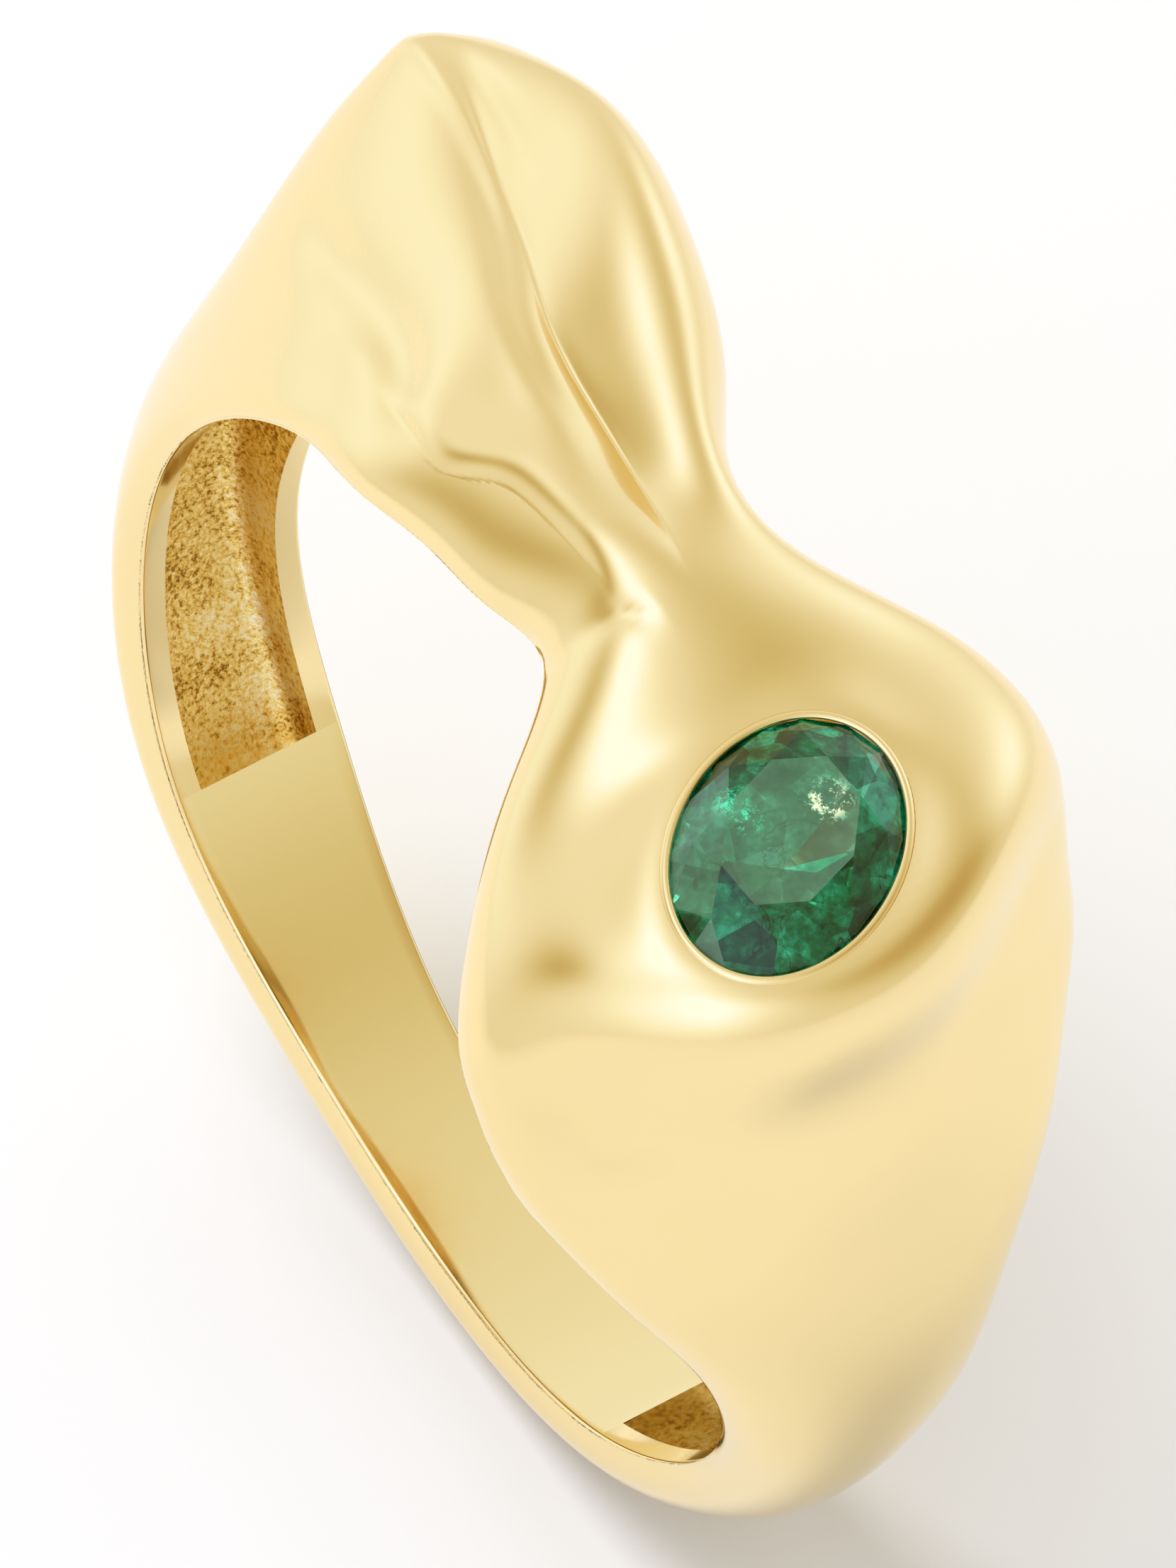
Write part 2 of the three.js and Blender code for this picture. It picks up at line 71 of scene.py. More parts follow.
# Cross-sections round the ring: the angle from the top toward +X, then ten points from
# the near rim over the crown to the far rim, each along the finger and out from its axis.
SECTIONS = {
    -120: [(-1.45, 8.5), (-1.6, 8.8), (-1.6, 9.2), (-1.2, 9.65), (-0.5, 9.8),
         (0, 9.85), (0.5, 9.8), (1.2, 9.65), (1.6, 9.2), (1.45, 8.5)],
    -95: [(-1.35, 8.5), (-1.55, 8.85), (-1.5, 9.2), (-1, 9.7), (-0.35, 10),
         (0.2, 10.05), (0.7, 10), (1.2, 9.8), (1.6, 9.3), (1.45, 8.5)],
    -75: [(-1.22, 8.5), (-1.4, 8.85), (-1.2, 9.3), (-0.6, 9.9), (0.15, 10.35),
         (0.9, 10.55), (1.5, 10.45), (2.1, 10), (2.3, 9.2), (2, 8.5)],
    -60: [(-1.15, 8.5), (-1.3, 8.8), (-1, 9.2), (-0.3, 9.8), (0.6, 10.5),
         (1.6, 11.05), (2.5, 11.1), (3.3, 10.5), (3.6, 9.5), (3.2, 8.5)],
    -48: [(-1.12, 8.5), (-1.2, 8.75), (-0.7, 9.2), (0.6, 10.2), (2, 11.35),
         (3.5, 12.45), (4.4, 12.2), (5, 11.3), (4.85, 9.9), (4.3, 8.5)],
    -38: [(-1.1, 8.5), (-1.15, 8.75), (-0.6, 9.15), (0.8, 10.1), (2.5, 11.4),
         (3.4, 11.7), (4.25, 12.15), (5.1, 11.85), (5.15, 10), (4.7, 8.5)],
    -28: [(-1.15, 8.5), (-1.15, 8.75), (-0.65, 9.1), (0.65, 9.85), (2.1, 10.9),
         (2.9, 10.75), (3.8, 11.5), (4.95, 11.95), (5.4, 10.1), (4.9, 8.5)],
    -16: [(-1.35, 8.5), (-1.35, 8.85), (-0.85, 9.25), (0.25, 9.75), (1.45, 10.6),
         (2.15, 10.2), (3.1, 10.95), (4.3, 11.5), (4.95, 9.9), (4.6, 8.5)],
    -5: [(-1.2, 8.5), (-1.15, 8.95), (-0.6, 9.45), (0.3, 9.85), (1.05, 10.2),
         (1.7, 9.8), (2.5, 10.4), (3.5, 10.7), (4.15, 9.5), (4, 8.5)],
    5: [(-1.05, 8.5), (-1.05, 8.95), (-0.6, 9.5), (0.15, 10), (0.9, 10.15),
         (1.5, 9.85), (2.1, 10.2), (2.75, 10.25), (3.12, 9.35), (3.1, 8.5)],
    13: [(-0.9, 8.5), (-1, 9), (-0.7, 9.7), (0, 10.35), (0.75, 10.5),
         (1.4, 10.35), (2.05, 10.25), (2.7, 10), (3, 9.2), (2.95, 8.5)],
    22: [(-2.3, 8.5), (-2.35, 9), (-1.9, 9.65), (-0.9, 10.35), (0.2, 10.6),
         (1.2, 10.6), (2.2, 10.4), (3.3, 10), (3.8, 9.3), (3.7, 8.5)],
    30: [(-3.55, 8.5), (-3.6, 9), (-3.15, 9.6), (-1.7, 10.4), (-0.3, 10.7),
         (1, 10.75), (2.5, 10.55), (4, 10.1), (4.7, 9.4), (4.5, 8.5)],
    38: [(-4.5, 8.5), (-4.6, 9.05), (-4.2, 9.85), (-2.8, 11.1), (-1.1, 11.45),
         (0.9, 11.45), (2.7, 11.25), (4.3, 10.6), (5.1, 9.6), (5, 8.5)],
    45: [(-5, 8.5), (-5.1, 9.1), (-4.7, 10.1), (-3.2, 11.8), (-1.3, 12.5),
         (0.9, 12.5), (2.8, 12), (4.3, 11), (5.1, 9.8), (5.05, 8.5)],
    50: [(-5.06, 8.5), (-5.15, 9.1), (-4.7, 10.1), (-3.2, 11.8), (-1.3, 12.65),
         (0.9, 12.65), (2.7, 12.15), (4.1, 11), (4.95, 9.8), (4.95, 8.5)],
    54.5: [(-5.05, 8.5), (-5.12, 9.1), (-4.6, 10), (-3.1, 11.31), (-1.2, 12.01),
         (0.9, 12.01), (2.6, 11.56), (4, 10.75), (4.8, 9.75), (4.75, 8.5)],
    56.5: [(-5, 8.5), (-5.08, 9.08), (-4.55, 9.92), (-3, 11.08), (-1.2, 11.58),
         (0.85, 11.61), (2.55, 11.28), (3.9, 10.6), (4.75, 9.68), (4.65, 8.5)],
    58.5: [(-4.95, 8.5), (-5, 9.05), (-4.5, 9.83), (-2.95, 10.84), (-1.15, 11.26),
         (0.8, 11.32), (2.5, 11.06), (3.85, 10.5), (4.65, 9.62), (4.5, 8.5)],
    65: [(-4.6, 8.5), (-4.65, 9), (-4.05, 9.7), (-2.5, 10.42), (-1, 10.72),
         (0.7, 10.8), (2.2, 10.58), (3.5, 10.1), (4.2, 9.4), (4, 8.5)],
    75: [(-3.85, 8.5), (-3.95, 8.95), (-3.4, 9.5), (-2.1, 10.02), (-0.9, 10.22),
         (0.5, 10.28), (1.8, 10.15), (2.9, 9.85), (3.6, 9.3), (3.4, 8.5)],
    90: [(-2.6, 8.5), (-2.75, 8.85), (-2.3, 9.4), (-1.4, 9.85), (-0.6, 10),
         (0.3, 10.05), (1.2, 10), (2, 9.8), (2.6, 9.3), (2.4, 8.5)],
    105: [(-1.88, 8.5), (-2, 8.85), (-1.7, 9.4), (-1.1, 9.8), (-0.45, 9.95),
         (0.2, 9.97), (0.8, 9.95), (1.5, 9.75), (2.1, 9.3), (1.9, 8.5)],
    120: [(-1.5, 8.5), (-1.65, 8.8), (-1.45, 9.3), (-0.95, 9.75), (-0.4, 9.9),
         (0.1, 9.92), (0.6, 9.88), (1.2, 9.6), (1.65, 9.15), (1.55, 8.5)],
    151: [(-1.35, 8.5), (-1.5, 8.8), (-1.4, 9.25), (-0.95, 9.65), (-0.4, 9.8),
         (0, 9.8), (0.4, 9.8), (1, 9.65), (1.5, 9.2), (1.35, 8.5)],
    180: [(-1.15, 8.5), (-1.3, 8.8), (-1.25, 9.2), (-0.85, 9.6), (-0.35, 9.75),
         (0, 9.75), (0.35, 9.75), (0.85, 9.6), (1.25, 9.2), (1.15, 8.5)],
    212: [(-1.15, 8.5), (-1.3, 8.8), (-1.25, 9.2), (-0.85, 9.6), (-0.35, 9.75),
         (0, 9.75), (0.35, 9.75), (0.85, 9.6), (1.25, 9.2), (1.2, 8.5)],
}

# The foot of the stone's pillow climbs toward the rims: where it does so, in degrees, then its
# rise in degrees, reach across the ring and power on the near and far side.
FOOT_ANGLE, FOOT_SPREAD = 52.0, 17.0
FOOT_NEAR = (14.0, 0.5, 3.5)
FOOT_FAR = (14.0, 0.55, 2.0)

MM_PER_DEGREE = 0.19           # along the skin
CREASE_TIP = 0.03              # rounding of a crease's bottom
FOLD_FADE = 4.0                # extra degrees over which a fold fades at its ends
RIM_PLAIN, RIM_BLEND = 0.1, 0.5      # folds start this far outside the bore, and grow over this

# Folds of the upper lobe: kind, height, width, then the line it follows as angle and
# place along the finger.
FOLDS = [
    ("crease", -0.13, 0.16, [
        (-42, 3.95), (-37, 3.62), (-30, 3.07), (-22, 2.57), (-14, 2.02), (-8, 1.78),
        (-1, 1.64), (5, 1.48), (12, 1.22), (17, 1)]),
    ("round", -0.06, 0.2, [
        (-40, 3.35), (-34, 3.05), (-28, 2.62), (-22, 2.12), (-16, 1.58), (-10, 1.28),
        (-2, 1.1)]),
    ("round", 0.09, 0.15, [
        (-50, 3.85), (-45, 3.72), (-38, 3.42), (-33, 3.14), (-28, 2.85), (-22, 2.4)]),
    ("round", 0.16, 0.4, [
        (-54, 3.5), (-49, 3.8), (-45, 3.95), (-40, 4)]),
    ("round", -0.08, 0.2, [
        (-45, 4.15), (-41, 4), (-36, 3.83), (-30, 3.55), (-24, 3.25)]),
    ("step", 0.15, 0.3, [
        (-24, -0.25), (-18, -0.4), (-13, -0.52), (-8, -0.6), (-5, -0.38), (-2, -0.12),
        (0, -0.05), (6, 0), (11, -0.02), (15, -0.1)]),
    ("round", -0.14, 0.4, [
        (-52, 1.25), (-44, 1.05), (-36, 0.83), (-24, 0.37), (-16, -0.2), (-11, -0.45)]),
    ("round", 0.07, 0.35, [
        (-36, -0.1), (-30, -0.05), (-24, -0.2), (-18, -0.5)]),
]

# A notch across the near side, where the stone's lobe starts: depth, width and its line as
# place along the finger and angle.
NOTCH_DEPTH, NOTCH_WIDTH, NOTCH_TIP, NOTCH_FADE = 0.09, 0.22, 0.14, 0.5
NOTCH = [(-1.3, 14.2), (-0.9, 14.6), (-0.4, 15.2), (0.0, 16.2), (0.4, 17.5)]

# The stone: its centre, how far it leans toward +X and is turned, half its length and width,
# then the heights of its parts, and how far out its table and the middle rows of points lie.
STONE_AT = np.array([7.17, -0.07, 8.89])
STONE_LEAN, STONE_TURN = 10.0, 125.0
STONE_A, STONE_B = 2.32, 1.66
GIRDLE, CROWN, PAVILION = 0.1, 0.55, 1.3
TABLE, CROWN_MID, PAVILION_MID = 0.6, 0.82, 0.5
GEM_SIDES = 8
FLAT_ANGLE = 1.0               # facets that differ by less than this many degrees are one

# The collet round the stone, as a section: out from the girdle and up.
COLLET_WALL, COLLET_DEEP, COLLET_LIP = 0.12, 1.15, 0.17
COLLET_PROFILE = [
    (COLLET_WALL, -COLLET_DEEP), (COLLET_WALL, 0.05), (0.11, 0.11), (0.075, 0.15),
    (0.035, 0.165), (-0.005, 0.16), (-0.035, 0.14), (-0.045, 0.115), (-0.03, 0.095),
    (0.02, 0.075), (0.02, -0.08), (-0.25, -0.3), (-0.27, -0.34), (-0.27, -COLLET_DEEP),
]
COLLET_STEPS, COLLET_SHARP = 144, 45.0

# The skin levels out round the stone: how far out, how far above and below the stone's level
# skin counts as the top, and how far it ends under the collet's lip.
SETTLE, SETTLE_HEIGHT, BELOW_LIP = 0.6, 1.5, 0.06

# The seat that is cut in the skin: how far it reaches under the collet's wall, how far it goes
# down and up from the stone, and its corners.
SEAT_BITE, SEAT_DOWN, SEAT_UP, SEAT_STEPS = 0.01, 2.2, 2.0, 96

# The hollow under the head: its points, how evenly they are spread, its least height, the
# powers that square its corners and the passes that smooth it along the ring.
CAVITY_POINTS, CAVITY_EVEN, CAVITY_LEAST = 41, 0.35, 0.3
CAVITY_SQUARE, CAVITY_CORNER = 7, 1 / 5
CAVITY_PASSES = 4

# Mesh steps: quads across the skin, degrees along the head, sections of the shank and points
# across its inside.
ACROSS = 180
HEAD_STEP = 0.75
SHANK_SECTIONS, BORE_POINTS = 120, 12

# Normals taken from the true skin: nearest points used, how near the skin a vertex lies, how
# well its face agrees, degrees beyond a piece's ends, and the angle that stays sharp.
NORMAL_POINTS, NORMAL_REACH, NORMAL_AGREES = 4, 0.12, 0.9
NORMAL_MARGIN, SKIN_SHARP = 3.0, 35.0


# ---------------------------------------------------------------- surface
def natural_bends(x, v):
    """Second derivatives at its keys of the natural cubic through values v at x."""
    h = np.diff(x)
    a = np.eye(len(x))
    b = np.zeros_like(v)
    for i in range(1, len(x) - 1):
        a[i, i - 1:i + 2] = h[i - 1], 2 * (h[i - 1] + h[i]), h[i]
        b[i] = 6 * ((v[i + 1] - v[i]) / h[i] - (v[i] - v[i - 1]) / h[i - 1])
    return np.linalg.solve(a, b)


def keyed_curve(x, v, bends, q):
    """The cubic's value and slope at q, from its keys x, rows of values v and their bends."""
    i = np.clip(np.searchsorted(x, q, side="right") - 1, 0, len(x) - 2)
    h = (x[i + 1] - x[i])[..., None]
    t = (q - x[i])[..., None]
    s = h - t
    low = v[i] / h - bends[i] * h / 6
    high = v[i + 1] / h - bends[i + 1] * h / 6
    value = (bends[i] * s ** 3 + bends[i + 1] * t ** 3) / (6 * h) + low * s + high * t
    slope = (bends[i + 1] * t ** 2 - bends[i] * s ** 2) / (2 * h) - low + high
    return value, slope


def line_at(keys, q):
    """Value and slope at q of a smooth line through the keys, held at its ends."""
    x, v = np.array(keys, float).T
    v = v[:, None]
    value, slope = keyed_curve(x, v, natural_bends(x, v), np.clip(q, x[0], x[-1]))
    return value[..., 0], slope[..., 0]


# The keys are repeated over three turns, so that the ring closes smoothly.
TURN_KEYS = np.array(sorted(SECTIONS), float)
TURN_ROWS = np.array([np.ravel(SECTIONS[k]) for k in sorted(SECTIONS)], float)
RING_KEYS = np.concatenate([TURN_KEYS - 360, TURN_KEYS, TURN_KEYS + 360])
RING_ROWS = np.concatenate([TURN_ROWS] * 3)
RING_BENDS = natural_bends(RING_KEYS, RING_ROWS)


def across(angles, u):
    """The plain skin at some angles and at u, 0 at the near rim and 1 at the far one.

    It is a uniform cubic B-spline over the ten points of the section at each angle.
    """
    flat = keyed_curve(RING_KEYS, RING_ROWS, RING_BENDS, angles)[0]
    p = flat.reshape(flat.shape[:-1] + (-1, 2))
    before = 2 * p[..., :1, :] - p[..., 1:2, :]
    after = 2 * p[..., -1:, :] - p[..., -2:-1, :]
    p = np.concatenate([before, p, after], -2)
    spans = p.shape[-2] - 3
    s = u * spans
    i = np.minimum(s.astype(int), spans - 1)
    f = s - i
    weights = [(1 - f) ** 3 / 6, (3 * f ** 3 - 6 * f ** 2 + 4) / 6,
               (-3 * f ** 3 + 3 * f ** 2 + 3 * f + 1) / 6, f ** 3 / 6]
    return sum(w[..., None] * np.take_along_axis(p, (i + k)[..., None, None], -2)[..., 0, :]
               for k, w in enumerate(weights))


def ease(t):
    t = np.clip(t, 0, 1)
    return t * t * (3 - 2 * t)


def crease(s, width, tip=CREASE_TIP):
    """A sharp line, rounded over the tip."""
    return np.exp((tip - np.hypot(s, tip)) / width)


def round_fold(s, width):
    return np.exp(-(s / width) ** 2)


def step_fold(s, width):
    """Starts at the line and dies away on its far side only."""
    return np.where(s > 0, s / width * np.exp(1 - s / width), 0)


FOLD_SHAPES = {"crease": crease, "round": round_fold, "step": step_fold}


def fold_height(psi, y):
    """Change of radius at angles psi (n,) and places y (n, m)."""
    out = np.zeros_like(y)
    for kind, height, width, keys in FOLDS:
        line, slope = line_at(keys, psi)
        s = (y - line[:, None]) / np.sqrt(1 + (slope / MM_PER_DEGREE) ** 2)[:, None]
        start = ease((psi - keys[0][0]) / (keys[1][0] - keys[0][0] + FOLD_FADE))
        end = ease((keys[-1][0] - psi) / (keys[-1][0] - keys[-2][0] + FOLD_FADE))
        out += height * FOLD_SHAPES[kind](s, width) * (start * end)[:, None]
    s = (psi[:, None] - line_at(NOTCH, y)[0]) * MM_PER_DEGREE
    cut = crease(s, NOTCH_WIDTH, NOTCH_TIP)
    return out - NOTCH_DEPTH * cut * ease((NOTCH[-1][0] - y) / NOTCH_FADE)


def foot_lift(angles, u):
    """Degrees further round that the skin's height is read from, near the pillow's foot."""
    k = np.abs(2 * u - 1)
    near, far = (rise * (1 - np.exp(-(k / reach) ** power))
                 for rise, reach, power in (FOOT_NEAR, FOOT_FAR))
    window = np.exp(-((angles - FOOT_ANGLE) / FOOT_SPREAD) ** 2)
    return np.where(u < 0.5, near, far) * window


def skin(psi, u):
    """Outer skin, (len(psi), len(u), 2): along the finger and out from its axis."""
    angles, v = np.meshgrid(psi, u, indexing="ij")
    y = across(angles, v)[..., 0]
    r = across(angles + foot_lift(angles, v), v)[..., 1]
    r = r + fold_height(psi, y) * np.clip((r - FINGER_R - RIM_PLAIN) / RIM_BLEND, 0, 1)
    return np.stack([y, r], -1)


def to_xyz(psi, yr):
    a = psi[:, None] * DEGREE
    return np.stack([yr[..., 1] * np.sin(a), yr[..., 0] + 0 * a, yr[..., 1] * np.cos(a)], -1)


# ---------------------------------------------------------------- the stone's own axes
LEAN, TWIST = STONE_LEAN * DEGREE, STONE_TURN * DEGREE
LEVEL = np.array([math.cos(LEAN), 0, -math.sin(LEAN)])
FINGER = np.array([0.0, 1.0, 0.0])
STONE_UP = np.array([math.sin(LEAN), 0, math.cos(LEAN)])
LONG = math.cos(TWIST) * LEVEL + math.sin(TWIST) * FINGER
WIDE = -math.sin(TWIST) * LEVEL + math.cos(TWIST) * FINGER


def at_stone(along, wide, up):
    """The place so far along, across and up from the stone's centre."""
    along, wide, up = (np.asarray(v, float)[..., None] for v in (along, wide, up))
    return STONE_AT + along * LONG + wide * WIDE + up * STONE_UP


def oval(angle, offset, up):
    """Points round the stone, offset out from its girdle."""
    return at_stone((STONE_A + offset) * np.cos(angle), (STONE_B + offset) * np.sin(angle), up)


def settle(p):
    """Levels the skin round the stone so that it meets the collet all round."""
    d = p - STONE_AT
    a, b, h = d @ LONG, d @ WIDE, d @ STONE_UP
    q = np.sqrt((a / STONE_A) ** 2 + (b / STONE_B) ** 2) + 1e-9
    out = np.maximum(np.sqrt(a * a + b * b) * (1 - 1 / q), 0)
    w = np.exp(-(out / SETTLE) ** 2) * (np.abs(h) < SETTLE_HEIGHT)
    return p + ((COLLET_LIP - BELOW_LIP - h) * w)[..., None] * STONE_UP


# ---------------------------------------------------------------- mesh helpers
def add_object(name, mesh, materials):
    for m in materials:
        mesh.materials.append(m)
    obj = bpy.data.objects.new(name, mesh)
    bpy.context.scene.collection.objects.link(obj)
    return obj


def add_mesh(name, points, faces, materials):
    """An object from points in millimetres and faces."""
    mesh = bpy.data.meshes.new(name)
    mesh.from_pydata((np.asarray(points) * MM).tolist(), [], faces)
    mesh.validate()
    return add_object(name, mesh, materials)


def smooth(mesh, sharp_angle):
    mesh.shade_smooth()
    mesh.set_sharp_from_angle(angle=sharp_angle * DEGREE)


def tube_faces(count, size, wrap=False):
    """Quads between count loops of size points; wrap joins the last loop to the first."""
    faces = []
    for i in range(count if wrap else count - 1):
        here, there = i * size, (i + 1) % count * size
        for j in range(size):
            k = (j + 1) % size
            faces.append((here + j, there + j, there + k, here + k))
    return faces


def rounded(corner, before, after):
    """Points (n, EDGE_POINTS, 2) that round n corners, each between its two neighbours."""
    ends = []
    for point in (before, after):
        way = point - corner
        ends.append(corner + way / np.linalg.norm(way, axis=-1, keepdims=True) * EDGE)
    start, middle, end = ends[0][:, None], corner[:, None], ends[1][:, None]
    t = np.linspace(0, 1, EDGE_POINTS)[:, None]
    return (1 - t) ** 2 * start + 2 * t * (1 - t) * middle + t ** 2 * end


def ring_piece(name, psi, yr, outer, inside, materials, to_rims, end_slot):
    """A closed piece of the ring: its skin, far rim, inside and near rim.

    The inside takes the second material, out to the rims where to_rims is 1.
    """
    far = rounded(yr[:, -1], yr[:, -3], inside[:, 0])
    near = rounded(yr[:, 0], inside[:, -1], yr[:, 2])
    rims_and_inside = [to_xyz(psi, part) for part in (far, inside, near)]
    rows = np.concatenate([outer[:, 1:-1], *rims_and_inside], 1)
    count, size = rows.shape[:2]
    last = (count - 1) * size
    faces = tube_faces(count, size)
    faces += [tuple(range(size)), tuple(reversed(range(last, last + size)))]
    first = size - near.shape[1] - inside.shape[1]
    inner = range(first - to_rims, first + inside.shape[1] - 1 + to_rims)
    slots = [int(j in inner) for j in range(size)] * (count - 1) + [end_slot] * 2
    piece = add_mesh(name, rows.reshape(-1, 3), faces, materials)
    piece.data.polygons.foreach_set("material_index", slots)
    return piece


# ---------------------------------------------------------------- material nodes
def node_material(name):
    m = bpy.data.materials.new(name)
    m.use_nodes = True
    nt = m.node_tree
    nt.nodes.clear()
    out = nt.nodes.new("ShaderNodeOutputMaterial")
    bsdf = nt.nodes.new("ShaderNodeBsdfPrincipled")
    nt.links.new(bsdf.outputs[0], out.inputs["Surface"])
    return m, nt, bsdf


def feed(nt, socket, value):
    """Links the socket to another one, or sets it to a number, a vector or a colour."""
    if isinstance(value, bpy.types.NodeSocket):
        nt.links.new(value, socket)
    else:
        socket.default_value = value


def node(nt, kind, inputs):
    """A new node with its inputs fed, by name or number."""
    n = nt.nodes.new(kind)
    for key, value in inputs.items():
        feed(nt, n.inputs[key], value)
    return n


def noise(nt, coords, scale, detail, rough=0.5, distortion=0.0):
    n = node(nt, "ShaderNodeTexNoise", {"Vector": coords, "Scale": scale, "Detail": detail,
                                        "Roughness": rough, "Distortion": distortion})
    return n.outputs["Fac"]


def ramp(nt, fac, stops):
    r = node(nt, "ShaderNodeValToRGB", {"Fac": fac})
    e = r.color_ramp.elements
    while len(e) < len(stops):
        e.new(0.5)
    for k, (position, colour) in enumerate(stops):
        e[k].position = position
        e[k].color = (*colour, 1)
    return r.outputs["Color"]


def maths(nt, operation, *values):
    n = node(nt, "ShaderNodeMath", dict(enumerate(values)))
    n.operation = operation
    return n.outputs[0]


def vector_maths(nt, operation, output, *values):
    n = nt.nodes.new("ShaderNodeVectorMath")
    n.operation = operation
    for socket, value in zip(n.inputs, values):
        feed(nt, socket, value)
    return n.outputs[output]


def spread(nt, value, low, high):
    """Maps 0 to 1 onto low to high."""
    n = node(nt, "ShaderNodeMapRange", {"Value": value, "To Min": low, "To Max": high})
    return n.outputs["Result"]


def fall(nt, value, low, high):
    """1 below low, 0 above high, smooth between."""
    inputs = {"Value": value, "From Min": low, "From Max": high, "To Min": 1.0, "To Max": 0.0}
    n = node(nt, "ShaderNodeMapRange", inputs)
    n.interpolation_type = "SMOOTHSTEP"
    return n.outputs["Result"]


def mix_colour(nt, amount, a, b):
    n = nt.nodes.new("ShaderNodeMix")
    n.data_type = "RGBA"
    for k, value in ((0, amount), (6, a), (7, b)):
        feed(nt, n.inputs[k], value)
    return n.outputs[2]


def bump(nt, height, strength, distance):
    n = node(nt, "ShaderNodeBump", {"Height": height, "Strength": strength, "Distance": distance})
    return n.outputs["Normal"]


def object_coords(nt):
    return nt.nodes.new("ShaderNodeTexCoord").outputs["Object"]


# ---------------------------------------------------------------- gold
def gold_material(name, tones, polish):
    """Polished gold, with faint clouds of two tones and a fine change of polish."""
    m, nt, bsdf = node_material(name)
    coords = object_coords(nt)
    cloud = noise(nt, coords, scale=260.0, detail=3.0)
    fine = noise(nt, coords, scale=5200.0, detail=2.0)
    feed(nt, bsdf.inputs["Base Color"], ramp(nt, cloud, [(0.3, tones[0]), (0.7, tones[1])]))
    feed(nt, bsdf.inputs["Metallic"], 1.0)
    feed(nt, bsdf.inputs["Roughness"], spread(nt, fine, *polish))
    return m


# Tones of the cast skin by its grain, darkest in its pits; the near-white tone on the grain's tops is
# a painted glint.
CAST_TONES_AND_PAINTED_GLINTS = [(0.56, (0.30, 0.13, 0.015)), (0.67, (0.84, 0.55, 0.12)),
              (0.78, (0.99, 0.79, 0.32)), (0.90, (1.0, 0.95, 0.72))]
CAST_POLISH = (0.2, 0.42)
BLOT_SHARE = 0.45              # of the broad blots, against the fine grain


def cast_material():
    """The rough skin a casting keeps: fine grain, darker in its pits, with painted glints on its
    tops.
    """
    m, nt, bsdf = node_material("gold_as_cast")
    coords = object_coords(nt)
    grain = noise(nt, coords, scale=11500.0, detail=4.0, rough=0.75)
    blot = noise(nt, coords, scale=700.0, detail=3.0)
    mottle_and_painted_glints = maths(nt, "MULTIPLY_ADD", blot, BLOT_SHARE, grain)
    feed(nt, bsdf.inputs["Base Color"], ramp(nt, mottle_and_painted_glints, CAST_TONES_AND_PAINTED_GLINTS))
    feed(nt, bsdf.inputs["Metallic"], 1.0)
    feed(nt, bsdf.inputs["Roughness"], spread(nt, blot, *CAST_POLISH))
    feed(nt, bsdf.inputs["Normal"], bump(nt, grain, strength=0.6, distance=0.00003))
    return m


# ---------------------------------------------------------------- emerald
GREENS = [(0.49, (0.0, 0.018, 0.004)), (0.62, (0.0, 0.09, 0.022)),
          (0.71, (0.002, 0.27, 0.095)), (0.80, (0.04, 0.68, 0.34))]
CELL_SHARE, CLOUD_SHARE, DUST_SHARE = 0.22, 0.8, 0.26    # of each in the depth of green
HAIRLINE = (0.0, 0.012, 0.005, 1)
HAIR_FULL, HAIR_GONE = 0.003, 0.011    # how far the vein noise is from its middle value
HAIR_LEAST, HAIR_BY_CELL = 0.35, 0.6   # strength, and how much more a cell can give it

# Facets painted paler as a painted reflection: turn from the long axis and tilt of the facet, reach,
# share and colour.
PAINTED_REFLECTION_LEAST = 0.25              # of a facet's share, where there is no cloud
PAINTED_REFLECTION_FACETS = [
    (0, 0, 6, 0.75, (0.34, 0.62, 0.40)),
    (108, 38, 17, 0.7, (0.30, 0.50, 0.34)),
    (165, 42, 12, 0.9, (0.34, 0.50, 0.36)),
    (-28, 42, 12, 0.7, (0.30, 0.34, 0.28)),
]

# Painted glints and painted flashes that glow in the stone, along, across and up from its centre:
# full within the first radius and gone at the second.
PAINTED_FLASH_COLOUR, PAINTED_GLINT_COLOUR = (0.0, 0.75, 0.42, 1), (1.0, 0.93, 0.62, 1)
# Masks of the painted glint: the share of each noise, and where its grains glow.
SPARSE_SHARE = 0.7             # of the broad noise, against the fine one
UNLIT, LIT = 0.86, 0.96        # both noises together, where no grain glitters and where each does
PAINTED_GLOW_STRENGTH = 0.9
PAINTED_GLINT_SPOT = ((0.71, -0.29, 0.65), 0.2, 0.5)
PAINTED_FLASH_SPOTS = [((0.1, 0.97, 0.5), 0.06, 0.38), ((-0.11, 0.65, 0.6), 0.06, 0.32)]


def stone_coords(nt):
    """Millimetres along, across and up from the stone's centre."""
    centre = Vector(STONE_AT * MM)
    off = vector_maths(nt, "SUBTRACT", "Vector", object_coords(nt), centre)
    own = [vector_maths(nt, "DOT_PRODUCT", "Value", off, Vector(axis / MM))
           for axis in (LONG, WIDE, STONE_UP)]
    return node(nt, "ShaderNodeCombineXYZ", dict(enumerate(own))).outputs[0]


